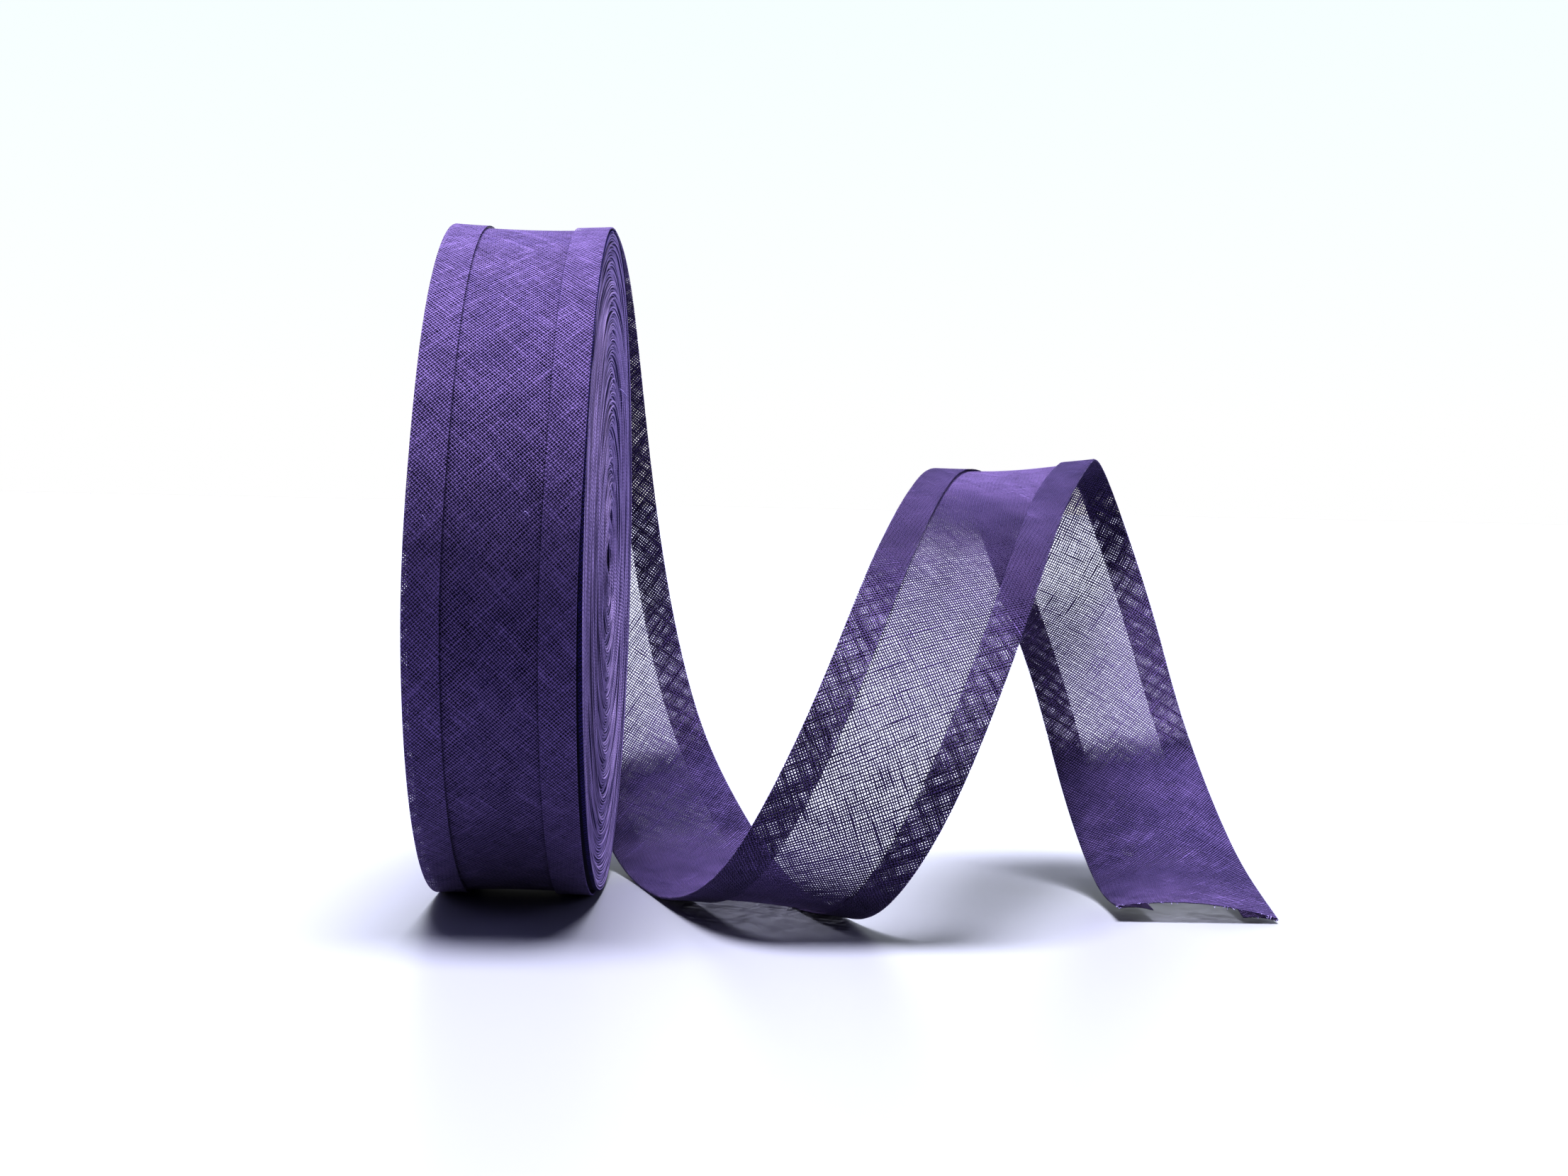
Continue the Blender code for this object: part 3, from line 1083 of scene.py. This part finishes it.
@dataclass
class WoundTurns:
    """The wound body under the outermost turn: its side faces, rim and hole.

    Attributes:
        angle_steps: Points round a turn.
        seed: Picks the pattern of uneven turns.
        valley: Mean depth between two folded edges, in millimetres.
        valley_swing: How much that depth changes with the gap.
        group_swing: How much whole groups of turns stand in or out.
        single_swing: How much single turns do.
        mean_inset: Mean place of the folds against half the tape's width.
        inset_limits: How far in and out a fold may lie.
        gap_shift: How far a gap pushes its turn outward.
        rim_margin: How far the turn under the rim lies inside the roll's width.
        rim_dish: How deep that turn's middle is dished, and how far it rises in a turn.
        hole_margin: How far the hole's wall ends inside the roll's width.
        lowest: Least height above the surface.
    """

    angle_steps: int = 160
    seed: int = 4
    valley: float = 0.30
    valley_swing: float = 0.26
    group_swing: float = 0.23
    single_swing: float = 0.12
    mean_inset: float = -0.17
    inset_limits: tuple[float, float] = (-0.9, 0.22)
    gap_shift: float = 0.05
    rim_margin: float = 0.05
    rim_dish: float = 0.4
    hole_margin: float = 0.4
    lowest: float = 0.6

    def face(self, side: Face) -> bpy.types.Object:
        """Make one side face, with a rounded folded edge for every turn.

        Args:
            side: Which face of the roll.

        Returns:
            The object.
        """
        angles = np.linspace(0.0, 2 * math.pi, self.angle_steps + 1)
        turn = np.repeat(np.arange(ROLL.turns), len(FOLD_SHAPE)).astype(float)
        share = np.tile([point.share for point in FOLD_SHAPE], ROLL.turns)
        depth = np.tile([point.depth for point in FOLD_SHAPE], ROLL.turns)
        angle, turn = np.meshgrid(angles, turn, indexing="ij")
        place = turn + share[None, :] + angle / (2 * math.pi)
        whole = turn + angle / (2 * math.pi)
        seed = self.seed + side.value
        groups = Wander(ROLL.turns + 3, 4, 0.82, seed).read(whole, angle)
        single = Wander(ROLL.turns + 3, 3, 0.0, seed + 10).read(whole, angle)
        gaps = Wander(ROLL.turns + 3, 3, 0.35, seed + 20).read(whole, angle)
        valley = self.valley + self.valley_swing * np.clip(gaps, -0.8, 2.0)
        inset = self.group_swing * groups + self.single_swing * single + self.mean_inset
        axial = ROLL.half_width + np.clip(inset, *self.inset_limits) + depth[None, :] * valley
        radius = ROLL.hole_radius + ROLL.pitch * place + self.gap_shift * gaps
        points = self.turned(side.value * axial, radius, angle)
        length = (ROLL.hole_radius + ROLL.pitch * whole) * angle
        uvs = np.stack([length, (turn + share[None, :]) * ROLL.pitch], axis=-1) * MM
        name = f"wound_edges_{side.name.lower()}"
        return grid_mesh(name, points, uvs, side is Face.LEFT, {"angle": angle})

    def turned(self, x: np.ndarray, radius: np.ndarray, angle: np.ndarray) -> np.ndarray:
        """Turn (x, radius) places about the roll's axis and rest them on the surface."""
        height = ROLL.axis_height + radius * np.cos(angle)
        return np.stack([x, radius * np.sin(angle), np.maximum(height, self.lowest)], axis=-1)

    def rim(self) -> bpy.types.Object:
        """Make the turn of cloth just under the outermost one."""
        angles = np.linspace(0.0, 2 * math.pi, self.angle_steps + 1)
        half = ROLL.half_width - self.rim_margin
        side = np.linspace(-half, half, 17)
        angle, x = np.meshgrid(angles, side, indexing="ij")
        dish = self.rim_dish * (1 - (x / ROLL.half_width) ** 2)
        radius = ROLL.under_radius + angle / (2 * math.pi) * self.rim_dish - dish
        points = self.turned(x, radius, angle)
        uvs = np.stack([x * MM, radius * angle * MM], axis=-1)
        return grid_mesh("under_turn", points, uvs, flip=False)

    def hole(self) -> bpy.types.Object:
        """Make the cloth wall of the small hole at the roll's centre."""
        angles = np.linspace(0.0, 2 * math.pi, 49)
        half = ROLL.half_width - self.hole_margin
        side = np.linspace(-half, half, 5)
        angle, x = np.meshgrid(angles, side, indexing="ij")
        radius = ROLL.hole_radius + ROLL.pitch * angle / (2 * math.pi)
        points = self.turned(x, radius, angle)
        uvs = np.stack([x * MM, radius * angle * MM], axis=-1)
        return grid_mesh("centre_hole_wall", points, uvs, flip=True)

    def build(self) -> list[bpy.types.Object]:
        """Make every piece of the wound body with its material."""
        # The rim and the hole wall take the cloth in painted shade.
        edges, cloth = EDGES.build(), UNDER_IN_PAINTED_SHADE.build()
        faces = [self.face(side) for side in Face]
        rings = [self.rim(), self.hole()]
        for piece in faces:
            piece.data.materials.append(edges)
        for piece in rings:
            piece.data.materials.append(cloth)
        return faces + rings


@dataclass
class StrayFibres:
    """Short threads that fray from the cut end, and the few fibres that lie on the roll.

    Attributes:
        tape: The cloth that they fray from.
        count: Number of frayed threads.
        shortest: Least length of one, in millimetres.
        longest: Greatest length.
        thickness: Thickness at the root.
        seed: Picks their places and lengths.
        splay: How far they point away from straight, against their length.
        bulge: How far they bend.
        buried: How far a root lies inside the cloth's edge.
        jitter: How far a root shifts along the cut.
        lowest: Least height of a tip above the surface.
        tip: Thickness of a tip against its root.
    """

    tape: TapeSheet
    count: int = 30
    shortest: float = 0.2
    longest: float = 0.75
    thickness: float = 0.12
    seed: int = 21
    splay: float = 0.35
    bulge: float = 0.12
    buried: float = 0.2
    jitter: float = 0.5
    lowest: float = 0.1
    tip: float = 0.35

    def path(self, root: np.ndarray, heading: np.ndarray, bulge: np.ndarray) -> np.ndarray:
        """Bend a fibre away from its root.

        Args:
            root: Where it leaves the cloth, in millimetres.
            heading: From its root to its tip.
            bulge: How far its middle stands off the straight line.

        Returns:
            Points along the fibre.
        """
        share = np.linspace(0.0, 1.0, 9)[:, None]
        return root + heading * share + bulge * np.sin(math.pi * share)

    def tube(self, path: np.ndarray, thickness: float) -> np.ndarray:
        """Sweep a thin round section, tapered to the tip, along a path."""
        forward = np.gradient(path, axis=0)
        forward /= np.linalg.norm(forward, axis=1)[:, None]
        side = np.cross(forward, np.array([0.3, 0.2, 0.93]))
        side /= np.linalg.norm(side, axis=1)[:, None]
        above = np.cross(side, forward)
        angle = np.linspace(0.0, 2 * math.pi, 7)[None, :, None]
        radius = thickness / 2 * np.linspace(1.0, self.tip, len(path))[:, None, None]
        ring = np.cos(angle) * side[:, None] + np.sin(angle) * above[:, None]
        return path[:, None] + radius * ring

    def build(self) -> bpy.types.Object:
        """Make every fibre as one object with its material."""
        random = np.random.default_rng(self.seed)
        edge, behind = self.tape.points[-1], self.tape.points[-2]
        tubes = []
        for _ in range(self.count):
            column = random.integers(2, len(edge) - 2)
            outward = edge[column] - behind[column]
            outward /= np.linalg.norm(outward)
            length = random.uniform(self.shortest, self.longest)
            heading = length * (outward + random.normal(0, self.splay, 3))
            root = edge[column] - self.buried * outward
            root[0] += random.uniform(-self.jitter, self.jitter)
            heading[2] = max(heading[2], self.lowest - root[2])
            path = self.path(root, heading, random.normal(0, self.bulge, 3))
            tubes.append(self.tube(path, self.thickness))
        for fibre in FIBRES_ON_ROLL:
            root, tip, bulge = (np.array(p) for p in (fibre.root, fibre.tip, fibre.bulge))
            tubes.append(self.tube(self.path(root, tip - root, bulge), fibre.thickness))
        rows, columns = tubes[0].shape[:2]
        quads = grid_quads(rows, columns)
        faces = np.concatenate([quads + n * rows * columns for n in range(len(tubes))])
        points = np.concatenate([tube.reshape(-1, 3) for tube in tubes]) * MM
        mesh = bpy.data.meshes.new("stray_fibres")
        mesh.from_pydata(points.tolist(), [], faces.tolist())
        mesh.polygons.foreach_set("use_smooth", np.ones(len(faces), dtype=bool))
        mesh.materials.append(FIBRES.build())
        made = bpy.data.objects.new("stray_fibres", mesh)
        bpy.context.scene.collection.objects.link(made)
        return made


@dataclass(frozen=True)
class Studio:
    """Floor, soft light and camera.

    Attributes:
        lens: Focal length in millimetres, on a sensor 36 mm wide.
        place: The camera's place in millimetres.
        yaw: Degrees from +Y toward +X.
        pitch: Degrees above the horizon.
        roll: Degrees by which the camera leans.
        overhead: Strength of the overhead lamp.
        front_glow: Brightness of the tent's front against its back.
        side_glow: Brightness of its sides against its back.
        side_tone: Colour of its sides.
        front_tone: Colour of its front, which lies in shade.
        zenith_glow: Brightness of its top, round the lamp, against its back.
        contrast_gamma: Deepens the dark tones as the picture was printed.
        floor_tone: Colour of the floor, which the strong lamp turns white.
    """

    lens: float = 59.5
    place: tuple[float, float, float] = (42.7, -419.3, 65.9)
    yaw: float = -0.273
    pitch: float = -2.196
    roll: float = 1.233
    overhead: float = 10.7
    front_glow: float = 0.05
    side_glow: float = 2.9
    side_tone: str = "#D9DAFF"
    front_tone: str = "#8C86FF"
    zenith_glow: float = 0.25
    contrast_gamma: float = 0.69
    floor_tone: str = "#9394A0"

    def add_camera(self) -> None:
        """Place the camera at the photograph's viewing angle."""
        yaw, pitch, roll = (math.radians(a) for a in (self.yaw, self.pitch, self.roll))
        ahead = Vector((math.sin(yaw) * math.cos(pitch), math.cos(yaw) * math.cos(pitch),
                        math.sin(pitch)))
        level = Vector((math.cos(yaw), -math.sin(yaw), 0.0))
        above = level.cross(ahead)
        right = math.cos(roll) * level + math.sin(roll) * above
        up = math.cos(roll) * above - math.sin(roll) * level
        data = bpy.data.cameras.new("camera")
        data.lens, data.sensor_width = self.lens, 36.0
        data.clip_start, data.clip_end = 0.01, 50.0
        camera = bpy.data.objects.new("camera", data)
        turn = Matrix((right, up, -ahead)).transposed().to_4x4()
        camera.matrix_world = Matrix.Translation(Vector(self.place) * MM) @ turn
        bpy.context.scene.collection.objects.link(camera)
        bpy.context.scene.camera = camera

    def add_floor(self) -> None:
        """Lay the plain pale floor."""
        mesh = bpy.data.meshes.new("floor")
        reach = 8.0
        corners = [(-reach, -reach, 0), (reach, -reach, 0), (reach, reach, 0), (-reach, reach, 0)]
        mesh.from_pydata(corners, [], [(0, 1, 2, 3)])
        floor = bpy.data.objects.new("floor", mesh)
        floor.location.z = -0.02 * MM
        bpy.context.scene.collection.objects.link(floor)
        # Pressed laminate: pale, plain and slightly glossy, with soft reflections.
        material = bpy.data.materials.new("white_laminate_board")
        add = NodeSheet(material).add
        skin = add("BsdfPrincipled", links={
            "Base Color": linear_rgb(self.floor_tone), "Roughness": 0.38, "IOR": 1.45})
        add("OutputMaterial", links={"Surface": skin})
        mesh.materials.append(material)

    def add_world(self) -> None:
        """Surround the roll with a white tent: bright at the sides, dark behind the camera."""
        world = bpy.data.worlds.new("white_tent")
        bpy.context.scene.world = world
        add = NodeSheet(world).add
        way = add("TexCoord").node.outputs["Generated"]
        parts = add("SeparateXYZ", way).node.outputs
        rear = add("MapRange", links={
            "Value": parts[1], "From Min": -0.3, "From Max": 0.05},
            interpolation_type="SMOOTHSTEP")
        back = add("Math", rear, 1.0 - self.front_glow, self.front_glow, operation="MULTIPLY_ADD")
        aside = add("Math", parts[0], operation="ABSOLUTE")
        side = add("MapRange", links={
            "Value": aside, "From Min": 0.45, "From Max": 0.85, "To Min": 1.0,
            "To Max": self.side_glow}, interpolation_type="SMOOTHSTEP")
        zenith = add("MapRange", links={
            "Value": parts[2], "From Min": 0.4, "From Max": 0.75, "To Min": 1.0,
            "To Max": self.zenith_glow}, interpolation_type="SMOOTHSTEP")
        around = add("Math", back, side, operation="MULTIPLY")
        strength = add("Math", around, zenith, operation="MULTIPLY")
        high = add("MapRange", links={"Value": parts[2], "From Min": 0.03, "From Max": 0.22})
        sky = add("Mix", high, links={
            "A": linear_rgb("#FFFFFF"), "B": linear_rgb("#F7FFFF")}, data_type="RGBA")
        wings = add("MapRange", links={"Value": aside, "From Min": 0.45, "From Max": 0.85})
        lit = add("Mix", wings, links={
            "A": sky, "B": linear_rgb(self.side_tone)}, data_type="RGBA")
        whole = add("Mix", rear, links={
            "A": linear_rgb(self.front_tone), "B": lit}, data_type="RGBA")
        light = add("Background", links={"Color": whole, "Strength": strength})
        add("OutputWorld", links={"Surface": light})

    def add_lights(self) -> None:
        """Hang the wide soft lamp above and behind the roll."""
        data = bpy.data.lights.new("overhead_softbox", "SUN")
        data.energy = self.overhead
        data.angle = math.radians(30)
        lamp = bpy.data.objects.new("overhead_softbox", data)
        toward = Vector((-0.02, 0.06, 0.99))
        lamp.rotation_mode = "QUATERNION"
        lamp.rotation_quaternion = toward.to_track_quat("Z", "Y")
        bpy.context.scene.collection.objects.link(lamp)

    def build(self) -> None:
        """Set up the whole studio and how its light becomes a picture."""
        self.add_camera()
        self.add_floor()
        self.add_world()
        self.add_lights()
        settings = bpy.context.scene.view_settings
        settings.view_transform = "Standard"
        settings.look = "None"
        settings.gamma = self.contrast_gamma


def main() -> None:
    """Load the frame, dress it, and set up the studio."""
    logging.basicConfig(level=logging.INFO, format="%(message)s")
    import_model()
    tape = TapeSheet()
    cloth, *sides = tape.build()
    for piece in (cloth, *sides):
        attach(piece, ROOT_BODY)
        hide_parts(LOOSE_NODE)
        log.info("%s: %d faces", piece.name, len(piece.data.polygons))
    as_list(sides)
    fibres = StrayFibres(tape).build()
    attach(fibres, ROOT_BODY)
    log.info("%s: %d faces", fibres.name, len(fibres.data.polygons))
    for piece in WoundTurns().build():
        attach(piece, ROOT_BODY)
        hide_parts(ROLL_NODE)
        log.info("%s: %d faces", piece.name, len(piece.data.polygons))
    Studio().build()


if __name__ == "__main__":
    main()
